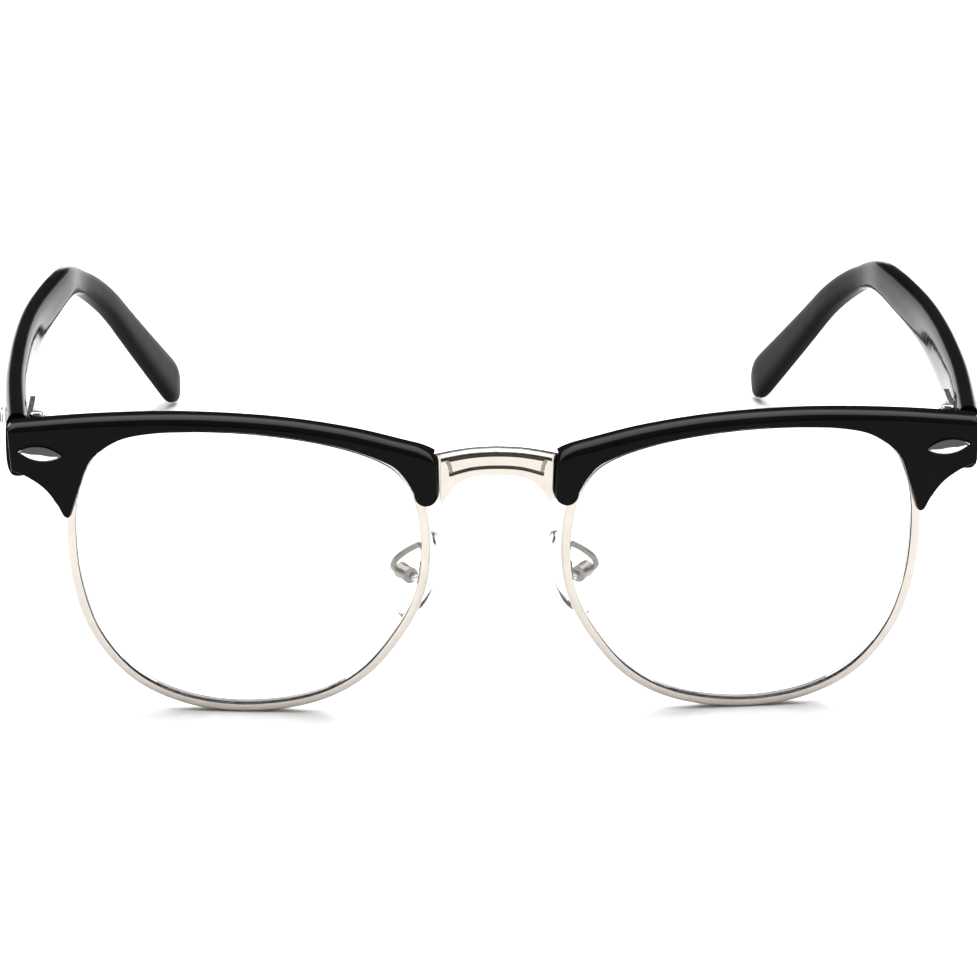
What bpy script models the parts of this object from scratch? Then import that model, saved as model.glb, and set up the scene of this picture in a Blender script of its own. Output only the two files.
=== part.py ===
"""Half rim (browline) eyeglasses, standing open on the two rims and the two temple tips.

+X is the wearer's left, +Y runs back from the lenses to the temple tips, +Z is up.
Lengths are millimetres and become metres where a mesh is made. Each side piece is built
for the wearer's left and mirrored for the right. The front of each side lies in a plane
of its own, with u outward, w backward and v upward, turned by WRAP about a vertical line.
"""

import math

import bmesh
import bpy
from mathutils import Vector

MM = 0.001

# Overall place of the front
WRAP = math.radians(4.0)
WRAP_U = 10.0
CENTRE_Y = 69.05
JOINT_GAP = 0.12

# Rim wire: its outer edge seen from the front, and its section
RIM_OUTLINE = [
    (9.4, 25.5), (10.3, 18.8), (13.2, 12.6), (18.4, 6.0), (25.6, 1.75), (35.5, 0.0), (45.0, 1.1),
    (52.6, 4.9), (58.0, 11.6), (60.6, 19.5), (61.25, 28.0), (60.4, 34.6), (57.6, 40.3), (52.5, 43.5),
    (44.0, 44.4), (34.0, 44.15), (24.0, 42.75), (16.4, 40.4), (12.4, 37.4), (10.2, 32.6),
]
RIM_STEPS = 3
RIM_RADIAL = 1.35
RIM_FRONT = 1.55
RIM_BACK = 3.75
GROOVE_DEPTH = 0.575
GROOVE_LIP = 0.4
RIM_SPLIT_V = 34.0
RIM_SPLIT_GAP = 0.16

# Closing block that clamps the split rim
BLOCK_INNER_U = 60.35
BLOCK_OUTER_U = 63.0
BLOCK_HALF_HEIGHT = 2.2
BLOCK_SCREW_U = 62.05
BLOCK_SCREW_RADIUS = 0.42

# Lens
LENS_THICKNESS = 2.0
LENS_BULGE = 1.3
LENS_GAP = 0.15
LENS_BEVEL_TIP = 0.925
LENS_RINGS = (0.3, 0.6, 0.85)

# Brow: outline of its front face, corner by corner
BROW_TOP = [
    (8.25, 38.6), (8.7, 39.9), (10.4, 40.8), (13.0, 41.5), (21.3, 43.4), (31.9, 44.8), (44.5, 45.3),
    (57.0, 44.8), (68.2, 43.8),
]
BROW_TEMPORAL_EDGE = [(68.6, 43.3), (68.6, 37.4), (67.0, 36.55), (64.35, 34.65), (62.5, 32.4), (61.6, 31.0)]
BROW_LEG_TIP = [(61.1, 30.55), (60.6, 30.7)]
BROW_LENS_EDGE = [
    (60.1, 31.6), (58.9, 34.6), (57.5, 38.4), (55.1, 40.75), (51.8, 42.35), (46.0, 43.2), (38.5, 43.4),
    (31.0, 42.9), (22.0, 41.35), (15.6, 39.1), (13.3, 37.1), (11.9, 34.7),
]
BROW_LOBE_CENTRE = (10.0, 34.5)
BROW_LOBE_RADIUS = 1.85
BROW_DEPTH = 4.0
BROW_PLATE = 1.4
BROW_REBATE_CLEARANCE = 0.12
LEG_REBATE = (57.0, 66.5, 29.0, 37.0)
LOBE_REBATE = (7.0, 13.0, 31.0, 40.05)
LOBE_REBATE_FRONT = 2.5

# Bridge
BRIDGE_HALF_WIDTH = 7.85
BRIDGE_TOP = [(0.0, 40.7), (4.0, 40.46), (8.0, 39.75), (10.0, 39.15)]
BRIDGE_UNDERSIDE = [(7.6, 32.7), (6.7, 34.2), (5.5, 35.7), (3.6, 36.7), (0.0, 37.1)]
BRIDGE_FRONT = 1.0
BRIDGE_BACK = 3.5
BRIDGE_TAB_FRONT = 2.62
BROW_SCREW_PLACE = (9.75, 37.2)
BROW_SCREW_RADIUS = 0.5
BROW_SCREW_HEAD = (0.95, 0.55)
BROW_SCREW_TIP = 1.0

# Front plaque, an almond with a ridge along it, on two pins
PLAQUE_CENTRE = (64.4, 40.0)
PLAQUE_HALF_LENGTH = 3.15
PLAQUE_HALF_HEIGHT = 1.3
PLAQUE_HEIGHT = 0.75
PLAQUE_TILT = math.radians(6.0)
PLAQUE_PIN_SPACING = 2.9
PLAQUE_PIN_RADIUS = 0.45

# Hinge between the front and a temple, in world x and y
HINGE_X = 65.2
HINGE_Y = 12.0
BARREL_RADIUS = 1.25
BARREL_LEVELS = (36.6, 38.4, 38.5, 40.7, 40.8, 42.6)
HINGE_SCREW_RADIUS = 0.6
HINGE_SCREW_HEAD = (1.05, 0.6)
PLATE_OUTLINE = (59.6, 66.7, 37.15, 42.3)
PLATE_THICKNESS = 0.9
LUG_X = (64.3, 66.0)
LUG_INSET = 0.12
NECK = (60.9, 63.0, 34.3, 38.0)
NECK_ROOM = (60.0, 64.0, 36.7, 39.0)
LEAF_X = (66.0, 66.8)
LEAF_Y = (13.7, 22.2)
LEAF_Z = (37.2, 42.0)
LEAF_TONGUE_Y = (12.4, 14.4)

# Temple: where its outer face runs in plan, its side profile, and its section
TEMPLE_FRONT_Y = 8.55
TEMPLE_SLOPE = math.radians(2.5)
TEMPLE_TOP_Z = 44.3
TEMPLE_BEND_Y = 87.6
TEMPLE_BEND_RADIUS = 43.9
TEMPLE_DROP_SLOPE = math.radians(48.1)
TEMPLE_DROP_LENGTH = 27.2
TEMPLE_PLAN = [(8.5, 67.7), (35.0, 69.7), (65.0, 69.7), (90.0, 66.7), (110.0, 63.0), (141.0, 47.9)]
TEMPLE_THICKNESS = [(0.0, 3.5), (30.0, 3.3), (95.0, 3.15), (140.0, 2.9)]
TEMPLE_HEIGHT = [(0.0, 9.4), (12.0, 9.0), (40.0, 8.2), (75.0, 6.4), (97.0, 4.0), (115.0, 5.4), (136.0, 7.8)]
TEMPLE_RINGS = 26
TEMPLE_SIDES = 12
TEMPLE_TIP_STEPS = ((2.6, 0.98), (1.1, 0.78), (0.3, 0.5))
HINGE_RECESS = (60.0, 66.95, 5.0, 23.0, 36.3, 43.0)

# Wire core inside each temple, and its channel
CORE_HALF_THICKNESS = 0.5
CORE_HALF_HEIGHT = 1.0
CORE_CLEARANCE = 0.2
CORE_DROP_AT_HINGE = 1.7
CORE_STRAIGHTENS = 40.0
CORE_END = 112.0

# Temple plaque
TEMPLE_PLAQUE_Y = 17.0
TEMPLE_PLAQUE_Z = 40.9

# Nose pad, its cup and its arm
PAD_SPLAY = math.radians(32.0)
PAD_FLARE = math.radians(25.0)
PAD_PIVOT = (12.4, 8.6, 19.6)
PAD_HALF_LENGTH = 6.6
PAD_HALF_WIDTH = 3.8
PAD_HALF_THICKNESS = 1.2
PAD_STANDOFF = 2.0
PAD_BOSS = (0.8, 0.55, 0.9)
CUP_HALF = (1.3, 1.35)
CUP_BACK = 1.65
CUP_RIM = 0.2
CUP_WALL = 0.45
CUP_SLOT_HALF = 0.7
PAD_SCREW_RADIUS = 0.33
PAD_SCREW_HEAD = (0.6, 0.45)
ARM_RADIUS = 0.45
ARM_PATH = [
    (9.95, 3.9, 25.6), (10.2, 4.7, 25.6), (11.1, 5.5, 25.2), (12.7, 5.8, 24.2), (14.1, 6.1, 22.9),
    (14.6, 6.8, 21.6), (14.3, 7.4, 20.75), (13.79, 7.72, 20.36),
]

COLOURS = {
    "black_acetate": ((0.008, 0.008, 0.009, 1.0), 0.12, 0.0),
    "silver_metal": ((0.80, 0.77, 0.72, 1.0), 0.22, 1.0),
    "chrome": ((0.88, 0.88, 0.86, 1.0), 0.08, 1.0),
    "screw_steel": ((0.62, 0.61, 0.58, 1.0), 0.3, 1.0),
    "lens": ((0.93, 0.96, 0.97, 1.0), 0.03, 0.0),
    "clear_silicone": ((0.92, 0.93, 0.93, 1.0), 0.2, 0.0),
}


# ---------------------------------------------------------------- curves and outlines

def spline(points, steps, closed=False):
    """Points on a Catmull-Rom curve through the given points, with `steps` to a span."""
    count = len(points)
    curve = []
    for index in range(count if closed else count - 1):
        if closed:
            near = [Vector(points[(index + offset) % count]) for offset in (-1, 0, 1, 2)]
        else:
            near = [Vector(points[min(max(index + offset, 0), count - 1)]) for offset in (-1, 0, 1, 2)]
        before, start, end, after = near
        for step in range(steps):
            t = step / steps
            curve.append(0.5 * (
                2.0 * start
                + (end - before) * t
                + (2.0 * before - 5.0 * start + 4.0 * end - after) * t ** 2
                + (3.0 * start - before - 3.0 * end + after) * t ** 3
            ))
    if not closed:
        curve.append(Vector(points[-1]))
    return curve


def inset(loop, distance):
    """A closed outline moved inward; the outline runs with its inside on the left."""
    moved = []
    for index, point in enumerate(loop):
        along = (loop[(index + 1) % len(loop)] - loop[index - 1]).normalized()
        moved.append(point + Vector((-along.y, along.x)) * distance)
    return moved


def value_at(table, place):
    """Straight interpolation in a table of (place, value) pairs."""
    if place <= table[0][0]:
        return table[0][1]
    for (start, low), (end, high) in zip(table, table[1:]):
        if place <= end:
            return low + (high - low) * (place - start) / (end - start)
    return table[-1][1]


def arc(centre, radius, start, end, steps):
    """Points on an arc, with angles in degrees."""
    angles = [math.radians(start + (end - start) * step / steps) for step in range(steps + 1)]
    return [Vector((centre[0] + radius * math.cos(a), centre[1] + radius * math.sin(a))) for a in angles]


def rectangle(low_u, high_u, low_v, high_v):
    return [Vector(corner) for corner in ((low_u, low_v), (high_u, low_v), (high_u, high_v), (low_u, high_v))]


def from_front(u, w, v):
    """World place of a point in the wearer's left front plane."""
    x = WRAP_U + (u - WRAP_U) * math.cos(WRAP) - w * math.sin(WRAP)
    y = (u - WRAP_U) * math.sin(WRAP) + w * math.cos(WRAP)
    return Vector((x, y, v))


def straight(u, w, v):
    return Vector((u, w, v))


# ---------------------------------------------------------------- solids

def loft(rings, capped=True):
    """A solid from rings of equal length, joined in order and closed at both ends or into a loop."""
    solid = bmesh.new()
    made = [[solid.verts.new(point) for point in ring] for ring in rings]
    pairs = list(zip(made, made[1:]))
    if not capped:
        pairs.append((made[-1], made[0]))
    for low, high in pairs:
        for index in range(len(low)):
            after = (index + 1) % len(low)
            solid.faces.new((low[index], low[after], high[after], high[index]))
    if capped:
        solid.faces.new(made[0])
        solid.faces.new(made[-1])
    bmesh.ops.recalc_face_normals(solid, faces=solid.faces)
    return solid


def prism(outline, near, far, place=from_front):
    return loft([[place(u, w, v) for u, v in outline] for w in (near, far)])


def box(low, high):
    return prism(rectangle(low[0], high[0], low[2], high[2]), low[1], high[1], straight)


def frame_along(direction):
    """Two unit vectors square to a direction and to each other."""
    side = direction.cross(Vector((0, 0, 1)))
    if side.length < 1e-6:
        side = Vector((1, 0, 0))
    side.normalize()
    return side, side.cross(direction).normalized()


def turned(start, end, profile, sides):
    """A turned solid on the line from start to end; the profile gives (distance along, radius)."""
    start, end = Vector(start), Vector(end)
    along = (end - start).normalized()
    side, up = frame_along(along)
    rings = []
    for distance, radius in profile:
        ring = []
        for index in range(sides):
            angle = 2.0 * math.pi * index / sides
            ring.append(start + along * distance + (side * math.cos(angle) + up * math.sin(angle)) * radius)
        rings.append(ring)
    return loft(rings)


def rod(start, end, radius, sides=16):
    length = (Vector(end) - Vector(start)).length
    return turned(start, end, [(0.0, radius), (length, radius)], sides)


def screw(tip, head_seat, radius, head, sides=14):
    """A pan head screw: shank from its tip to the seat of its head, then the head."""
    length = (Vector(head_seat) - Vector(tip)).length
    head_radius, head_height = head
    top = (Vector(head_seat) - Vector(tip)).normalized() * (length + head_height) + Vector(tip)
    profile = [(0.0, radius), (length, radius), (length, head_radius)]
    profile += [(length + 0.6 * head_height, head_radius), (length + head_height, 0.7 * head_radius)]
    return turned(tip, top, profile, sides)


def temporary(solid):
    mesh = bpy.data.meshes.new("temporary")
    solid.to_mesh(mesh)
    holder = bpy.data.objects.new("temporary", mesh)
    bpy.context.scene.collection.objects.link(holder)
    return holder


def combined(base, joins=(), cuts=()):
    """The base solid with others joined to it and then others cut from it."""
    body = temporary(base)
    helpers = []
    for operation, solids in (("UNION", joins), ("DIFFERENCE", cuts)):
        for solid in solids:
            helper = temporary(solid)
            helpers.append(helper)
            modifier = body.modifiers.new(operation, "BOOLEAN")
            modifier.operation = operation
            modifier.object = helper
    evaluated = body.evaluated_get(bpy.context.evaluated_depsgraph_get())
    result = bmesh.new()
    result.from_mesh(evaluated.to_mesh())
    evaluated.to_mesh_clear()
    for holder in [body, *helpers]:
        mesh = holder.data
        bpy.data.objects.remove(holder)
        bpy.data.meshes.remove(mesh)
    bmesh.ops.remove_doubles(result, verts=result.verts, dist=1e-4)
    return result


# ---------------------------------------------------------------- objects

def clear_scene():
    for thing in list(bpy.data.objects):
        bpy.data.objects.remove(thing)


def material(name):
    found = bpy.data.materials.get(name)
    if found:
        return found
    colour, roughness, metallic = COLOURS[name]
    found = bpy.data.materials.new(name)
    found.use_nodes = True
    shader = found.node_tree.nodes["Principled BSDF"]
    shader.inputs["Base Color"].default_value = colour
    shader.inputs["Roughness"].default_value = roughness
    shader.inputs["Metallic"].default_value = metallic
    found.diffuse_color = colour
    return found


def add_object(name, solid, colour, parent, pivot=(0.0, 0.0, 0.0)):
    """One named object whose origin is at its pivot."""
    pivot = Vector(pivot)
    bmesh.ops.translate(solid, vec=-pivot, verts=solid.verts)
    bmesh.ops.scale(solid, vec=(MM, MM, MM), verts=solid.verts)
    mesh = bpy.data.meshes.new(name)
    solid.to_mesh(mesh)
    solid.free()
    mesh.shade_smooth()
    mesh.set_sharp_from_angle(angle=math.radians(35.0))
    mesh.materials.append(material(colour))
    thing = bpy.data.objects.new(name, mesh)
    thing.location = pivot * MM
    thing.parent = parent
    bpy.context.scene.collection.objects.link(thing)


def add_pair(name, solid, colour, parent, pivot=(0.0, 0.0, 0.0)):
    """The wearer's left piece and its mirror image for the wearer's right."""
    mirrored = solid.copy()
    bmesh.ops.scale(mirrored, vec=(-1.0, 1.0, 1.0), verts=mirrored.verts)
    bmesh.ops.reverse_faces(mirrored, faces=mirrored.faces)
    add_object(name + "_left", solid, colour, parent, pivot)
    add_object(name + "_right", mirrored, colour, parent, (-pivot[0], pivot[1], pivot[2]))


# ---------------------------------------------------------------- rims and lenses

def rim_loop():
    return spline(RIM_OUTLINE, RIM_STEPS, closed=True)


def split_loop(loop):
    """The rim's outline opened at its temporal split: start above it, end below it."""
    cut = RIM_SPLIT_V
    count = len(loop)
    for index in range(count):
        low, high = loop[index], loop[(index + 1) % count]
        if low.x > WRAP_U * 3 and low.y < cut <= high.y:
            ends = []
            for level in (cut - 0.5 * RIM_SPLIT_GAP, cut + 0.5 * RIM_SPLIT_GAP):
                ends.append(low.lerp(high, (level - low.y) / (high.y - low.y)))
            rest = [loop[(index + 1 + step) % count] for step in range(count)]
            return [ends[1], *rest, ends[0]]
    raise ValueError("the outline never crosses the split")


def rim_section():
    """The wire's section as (inset from the outer edge, depth) pairs, with its lens groove."""
    deep = RIM_RADIAL
    middle = 0.5 * (RIM_FRONT + RIM_BACK)
    return [
        (deep, RIM_FRONT), (0.25, RIM_FRONT), (0.0, RIM_FRONT + 0.3), (0.0, RIM_BACK - 0.3),
        (0.25, RIM_BACK), (deep, RIM_BACK), (deep, RIM_BACK - GROOVE_LIP),
        (deep - GROOVE_DEPTH, middle), (deep, RIM_FRONT + GROOVE_LIP),
    ]


def rim_wire():
    loop = rim_loop()
    rings = []
    open_loops = {}
    for depth_in, w in rim_section():
        if depth_in not in open_loops:
            open_loops[depth_in] = split_loop(inset(loop, depth_in))
    count = min(len(points) for points in open_loops.values())
    for index in range(count):
        ring = []
        for depth_in, w in rim_section():
            point = open_loops[depth_in][index]
            ring.append(from_front(point.x, w, point.y))
        rings.append(ring)
    return loft(rings)


def block_prism(low_v, high_v):
    return prism(rectangle(BLOCK_INNER_U, BLOCK_OUTER_U, low_v, high_v), RIM_FRONT + 0.1, RIM_BACK - 0.1)


def build_rim():
    half_gap = 0.5 * RIM_SPLIT_GAP
    blocks = [
        block_prism(RIM_SPLIT_V + half_gap, RIM_SPLIT_V + BLOCK_HALF_HEIGHT),
        block_prism(RIM_SPLIT_V - BLOCK_HALF_HEIGHT, RIM_SPLIT_V - half_gap),
    ]
    middle = 0.5 * (RIM_FRONT + RIM_BACK)
    bore = rod(
        from_front(BLOCK_SCREW_U, middle, RIM_SPLIT_V - 4.0),
        from_front(BLOCK_SCREW_U, middle, RIM_SPLIT_V + 4.0), BLOCK_SCREW_RADIUS + JOINT_GAP, 12)
    return combined(rim_wire(), joins=blocks, cuts=[bore])


def build_rim_screw():
    middle = 0.5 * (RIM_FRONT + RIM_BACK)
    seat = RIM_SPLIT_V - BLOCK_HALF_HEIGHT - JOINT_GAP
    tip = RIM_SPLIT_V + BLOCK_HALF_HEIGHT - 0.2
    return screw(
        from_front(BLOCK_SCREW_U, middle, tip), from_front(BLOCK_SCREW_U, middle, seat),
        BLOCK_SCREW_RADIUS, (0.75, 0.5), 12)


def build_lens():
    """A meniscus lens bulging forward, with a V edge that sits in the rim's groove."""
    loop = rim_loop()
    edge = inset(loop, RIM_RADIAL + LENS_GAP)
    tip = inset(loop, LENS_BEVEL_TIP)
    centre = sum(edge, Vector((0.0, 0.0))) / len(edge)
    middle = 0.5 * (RIM_FRONT + RIM_BACK)
    rings = []
    for w_edge, sizes in (
        (middle - 0.5 * LENS_THICKNESS, (0.02, *LENS_RINGS, 1.0)),
        (middle + 0.5 * LENS_THICKNESS, (1.0, *reversed(LENS_RINGS), 0.02)),
    ):
        for size in sizes:
            w = w_edge - LENS_BULGE * (1.0 - size ** 2)
            rings.append([from_front(*flat(centre.lerp(point, size), w)) for point in edge])
        if len(rings) == len(LENS_RINGS) + 2:
            rings.append([from_front(*flat(point, middle - 0.5)) for point in edge])
            rings.append([from_front(*flat(point, middle)) for point in tip])
            rings.append([from_front(*flat(point, middle + 0.5)) for point in edge])
    return loft(rings)


def flat(point, w):
    return point.x, w, point.y


# ---------------------------------------------------------------- brows

def brow_outline():
    """The front face's outline, from the lobe up its inner side, along the top and back below."""
    outline = spline(BROW_TOP, 2)
    outline += [Vector(point) for point in BROW_TEMPORAL_EDGE[:1]]
    outline += spline(BROW_TEMPORAL_EDGE[1:], 2)
    outline += [Vector(point) for point in BROW_LEG_TIP]
    outline += spline(BROW_LENS_EDGE, 2)
    outline += arc(BROW_LOBE_CENTRE, BROW_LOBE_RADIUS, -10.0, -180.0, 8)
    return outline


def pin_places():
    """The two pins of the front plaque, in the front plane."""
    step = 0.5 * PLAQUE_PIN_SPACING
    return [
        (PLAQUE_CENTRE[0] + side * step * math.cos(PLAQUE_TILT), PLAQUE_CENTRE[1] + side * step * math.sin(PLAQUE_TILT))
        for side in (-1.0, 1.0)
    ]


def front_bore(place, radius, near=-1.0, far=8.0):
    u, v = place
    return rod(from_front(u, near, v), from_front(u, far, v), radius, 12)


def build_brow():
    """A plate over the rim with a thicker ridge round the outside of it."""
    behind = BROW_DEPTH + 2.0
    plug = prism(inset(rim_loop(), -BROW_REBATE_CLEARANCE), BROW_PLATE, behind)
    leg_room = prism(rectangle(*LEG_REBATE), BROW_PLATE, behind)
    lobe_room = prism(rectangle(*LOBE_REBATE), LOBE_REBATE_FRONT, behind)
    holes = [front_bore(place, PLAQUE_PIN_RADIUS + JOINT_GAP) for place in pin_places()]
    screw_hole = front_bore(BROW_SCREW_PLACE, BROW_SCREW_RADIUS + JOINT_GAP, BROW_SCREW_TIP - 0.15, behind)
    return combined(
        prism(brow_outline(), 0.0, BROW_DEPTH), cuts=[plug, leg_room, lobe_room, screw_hole, *holes])


def almond(half_length, half_height, steps=8):
    """A pointed oval: two arcs that meet at its ends."""
    radius = (half_length ** 2 + half_height ** 2) / (2.0 * half_height)
    half_angle = math.degrees(math.asin(half_length / radius))
    upper = arc((0.0, half_height - radius), radius, 90.0 - half_angle, 90.0 + half_angle, steps)
    lower = arc((0.0, radius - half_height), radius, 270.0 - half_angle, 270.0 + half_angle, steps)
    return upper[:-1] + lower[:-1]


def ridged_almond(place):
    """The plaque body: a flat back, a short straight edge and a ridge along its length."""
    outline = almond(PLAQUE_HALF_LENGTH, PLAQUE_HALF_HEIGHT)
    levels = ((1.0, 0.0), (1.0, 0.25), (0.5, 0.6), (0.1, PLAQUE_HEIGHT))
    rings = []
    for size, height in levels:
        rings.append([place(point.x * (0.35 + 0.65 * size), height, point.y * size) for point in outline])
    return loft(rings)


def on_brow(x, height, z):
    turned_x = x * math.cos(PLAQUE_TILT) - z * math.sin(PLAQUE_TILT)
    turned_z = x * math.sin(PLAQUE_TILT) + z * math.cos(PLAQUE_TILT)
    return from_front(PLAQUE_CENTRE[0] + turned_x, -JOINT_GAP - height, PLAQUE_CENTRE[1] + turned_z)


def build_plaque():
    pin_end = BROW_DEPTH + JOINT_GAP + PLATE_THICKNESS + 0.25
    pins = [front_bore(place, PLAQUE_PIN_RADIUS, -JOINT_GAP - 0.2, pin_end) for place in pin_places()]
    return combined(ridged_almond(on_brow), joins=pins)


# ---------------------------------------------------------------- bridge

def bridge_outline():
    """Half the arch: top edge outward, down beside the rim, and back along the underside."""
    beside = inset(rim_loop(), -0.4)
    side = [point for point in beside if point.x < 13.0 and 32.9 < point.y < 38.6]
    side.sort(key=lambda point: -point.y)
    half = spline(BRIDGE_TOP, 2) + side + spline(BRIDGE_UNDERSIDE, 2)
    return half


def build_bridge():
    half = bridge_outline()
    mirrored = [Vector((-point.x, point.y)) for point in reversed(half[1:-1])]
    bar = prism(half + mirrored, BRIDGE_FRONT, BRIDGE_BACK, straight)
    cuts = []
    for side in (-1.0, 1.0):
        low, high = sorted((side * BRIDGE_HALF_WIDTH, side * 16.0))
        cuts.append(box((low, 0.0, 30.0), (high, BRIDGE_TAB_FRONT, 42.0)))
        place = from_front(BROW_SCREW_PLACE[0], 0.0, BROW_SCREW_PLACE[1])
        back = from_front(BROW_SCREW_PLACE[0], 6.0, BROW_SCREW_PLACE[1])
        place.x *= side
        back.x *= side
        cuts.append(rod(place, back, BROW_SCREW_RADIUS + JOINT_GAP, 12))
    return combined(bar, cuts=cuts)


def build_brow_screw():
    u, v = BROW_SCREW_PLACE
    return screw(
        from_front(u, BROW_SCREW_TIP, v), from_front(u, BRIDGE_BACK + JOINT_GAP, v),
        BROW_SCREW_RADIUS, BROW_SCREW_HEAD)


# ---------------------------------------------------------------- end pieces and hinges

def build_end_piece():
    """The metal plate behind the brow's end, its neck to the rim's block, and two hinge barrels."""
    plate_front = BROW_DEPTH + JOINT_GAP
    plate = prism(rectangle(*PLATE_OUTLINE), plate_front, plate_front + PLATE_THICKNESS)
    block_back = RIM_BACK - 0.1
    neck = prism(rectangle(*NECK), block_back + JOINT_GAP, plate_front + 0.5)
    neck_room = prism(rectangle(*NECK_ROOM), 0.0, plate_front + 0.2)
    start = from_front(0.5 * sum(LUG_X), plate_front + 0.3, 0.0).y
    joins = [combined(neck, cuts=[neck_room])]
    lower_low, lower_high, _, _, upper_low, upper_high = BARREL_LEVELS
    for low, high in ((lower_low, lower_high), (upper_low, upper_high)):
        joins.append(box((LUG_X[0], start, low + LUG_INSET), (LUG_X[1], HINGE_Y, high - LUG_INSET)))
        joins.append(rod((HINGE_X, HINGE_Y, low), (HINGE_X, HINGE_Y, high), BARREL_RADIUS))
    cuts = [front_bore(place, PLAQUE_PIN_RADIUS + JOINT_GAP) for place in pin_places()]
    cuts.append(hinge_bore())
    return combined(plate, joins=joins, cuts=cuts)


def hinge_bore():
    return rod((HINGE_X, HINGE_Y, 30.0), (HINGE_X, HINGE_Y, 50.0), HINGE_SCREW_RADIUS + JOINT_GAP, 14)


def build_hinge_screw():
    seat = BARREL_LEVELS[5] + JOINT_GAP
    return screw(
        (HINGE_X, HINGE_Y, BARREL_LEVELS[0] + 0.2), (HINGE_X, HINGE_Y, seat), HINGE_SCREW_RADIUS,
        HINGE_SCREW_HEAD)


def build_temple_leaf():
    """The temple's hinge leaf: a plate in the recess, a tongue and the middle barrel."""
    _, _, low, high, _, _ = BARREL_LEVELS
    plate = box((LEAF_X[0], LEAF_Y[0], LEAF_Z[0]), (LEAF_X[1], LEAF_Y[1], LEAF_Z[1]))
    tongue = box(
        (LEAF_X[0] - 0.4, LEAF_TONGUE_Y[0], low + LUG_INSET),
        (LEAF_X[1] - LUG_INSET, LEAF_TONGUE_Y[1], high - LUG_INSET))
    barrel = rod((HINGE_X, HINGE_Y, low), (HINGE_X, HINGE_Y, high), BARREL_RADIUS)
    pins = [rod((60.0, y, TEMPLE_PLAQUE_Z), (69.0, y, TEMPLE_PLAQUE_Z), PLAQUE_PIN_RADIUS + JOINT_GAP, 12)
            for y in temple_pin_places()]
    return combined(plate, joins=[tongue, barrel], cuts=[hinge_bore(), *pins])


# ---------------------------------------------------------------- temples

def temple_profile(distance):
    """Centre (y, z) and slope of the temple's side profile at a distance along it."""
    straight_length = (TEMPLE_BEND_Y - TEMPLE_FRONT_Y) / math.cos(TEMPLE_SLOPE)
    centre_z = TEMPLE_TOP_Z - 0.5 * TEMPLE_HEIGHT[0][1]
    y = TEMPLE_FRONT_Y + min(distance, straight_length) * math.cos(TEMPLE_SLOPE)
    z = centre_z - min(distance, straight_length) * math.sin(TEMPLE_SLOPE)
    turn = TEMPLE_DROP_SLOPE - TEMPLE_SLOPE
    round_length = min(max(distance - straight_length, 0.0), turn * TEMPLE_BEND_RADIUS)
    slope = TEMPLE_SLOPE + round_length / TEMPLE_BEND_RADIUS
    y += TEMPLE_BEND_RADIUS * (math.sin(slope) - math.sin(TEMPLE_SLOPE))
    z -= TEMPLE_BEND_RADIUS * (math.cos(TEMPLE_SLOPE) - math.cos(slope))
    rest = max(distance - straight_length - turn * TEMPLE_BEND_RADIUS, 0.0)
    return y + rest * math.cos(slope), z - rest * math.sin(slope), slope


def temple_length():
    turn = TEMPLE_DROP_SLOPE - TEMPLE_SLOPE
    straight_length = (TEMPLE_BEND_Y - TEMPLE_FRONT_Y) / math.cos(TEMPLE_SLOPE)
    return straight_length + turn * TEMPLE_BEND_RADIUS + TEMPLE_DROP_LENGTH


def temple_plan(y):
    """Centre x of the temple at a distance back, on a smooth curve."""
    curve = spline(TEMPLE_PLAN, 6)
    return value_at([(point.x, point.y) for point in curve], y)


def temple_frame(distance):
    """Centre, thickness direction and height direction of the temple's section."""
    step = 0.5
    y, z, slope = temple_profile(distance)
    ahead_y, ahead_z, _ = temple_profile(distance + step)
    centre = Vector((temple_plan(y), y, z))
    along = (Vector((temple_plan(ahead_y), ahead_y, ahead_z)) - centre).normalized()
    thick = along.cross(Vector((0.0, math.sin(slope), math.cos(slope)))).normalized()
    return centre, thick, thick.cross(along).normalized()


def temple_ring(distance, half_thickness, half_height, drop=0.0, squareness=3.2):
    """A rounded section as a superellipse."""
    centre, thick, tall = temple_frame(distance)
    ring = []
    for index in range(TEMPLE_SIDES):
        angle = 2.0 * math.pi * (index + 0.5) / TEMPLE_SIDES
        c, s = math.cos(angle), math.sin(angle)
        reach = (abs(c) ** squareness + abs(s) ** squareness) ** (-1.0 / squareness)
        ring.append(centre + thick * (half_thickness * reach * c) + tall * (half_height * reach * s - drop))
    return ring


def core_drop(distance):
    return CORE_DROP_AT_HINGE * max(0.0, 1.0 - distance / CORE_STRAIGHTENS)


def temple_stations(end):
    return [end * index / TEMPLE_RINGS for index in range(TEMPLE_RINGS + 1)]


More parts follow.
